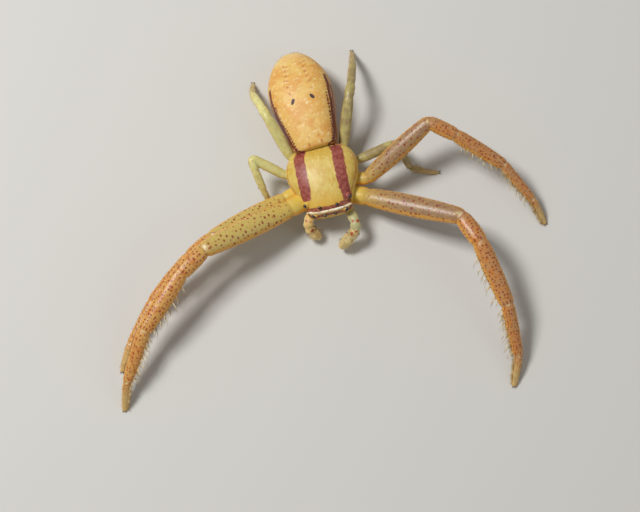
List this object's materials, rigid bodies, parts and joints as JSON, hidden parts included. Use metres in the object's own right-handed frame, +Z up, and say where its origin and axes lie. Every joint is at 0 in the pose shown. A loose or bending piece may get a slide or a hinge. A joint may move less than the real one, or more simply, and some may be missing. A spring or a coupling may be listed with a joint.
{
  "type": "crab spider",
  "caption": "Still life-size crab spider: long pale abdomen, banded round carapace with a flat face, long curved front legs spread wide, short hind legs.",
  "frame": {"origin": "on the floor under the middle of the whole stance", "axes": "+X towards the animal's left side, -Y towards its head, +Z up"},
  "size_m": [0.0204, 0.017, 0.0029],
  "materials": {
    "cephalothorax": "honey yellow cuticle with two broad red-brown bands",
    "abdomen": "soft amber skin with fine pale grains and dark broken side lines",
    "front_leg": "tan translucent cuticle with red-brown dots and orange edges",
    "hind_leg": "pale yellow-green translucent cuticle",
    "palp": "pale yellow cuticle with red-brown patches",
    "jaw": "glossy honey-brown cuticle",
    "eye": "black, wet-looking lens"
  },
  "bodies": {
    "root": {"abdomen": "abdomen", "cephalothorax": "cephalothorax", "eye_back_lateral_left": "eye", "eye_back_lateral_right": "eye", "eye_back_median_left": "eye", "eye_back_median_right": "eye", "eye_front_lateral_left": "eye", "eye_front_lateral_right": "eye", "eye_front_median_left": "eye", "eye_front_median_right": "eye", "jaw_left": "jaw", "jaw_right": "jaw", "leg_1_left_femur": "front_leg", "leg_1_left_foot": "front_leg", "leg_1_left_tibia": "front_leg", "leg_1_right_femur": "front_leg", "leg_1_right_foot": "front_leg", "leg_1_right_tibia": "front_leg", "leg_2_left_femur": "front_leg", "leg_2_left_foot": "front_leg", "leg_2_left_tibia": "front_leg", "leg_2_right_femur": "front_leg", "leg_2_right_foot": "front_leg", "leg_2_right_tibia": "front_leg", "leg_3_left_femur": "hind_leg", "leg_3_left_foot": "hind_leg", "leg_3_left_tibia": "hind_leg", "leg_3_right_femur": "hind_leg", "leg_3_right_foot": "hind_leg", "leg_3_right_tibia": "hind_leg", "leg_4_left_femur": "hind_leg", "leg_4_left_foot": "hind_leg", "leg_4_left_tibia": "hind_leg", "leg_4_right_femur": "hind_leg", "leg_4_right_foot": "hind_leg", "leg_4_right_tibia": "hind_leg", "palp_left": "palp", "palp_right": "palp"}
  },
  "joints": []
}
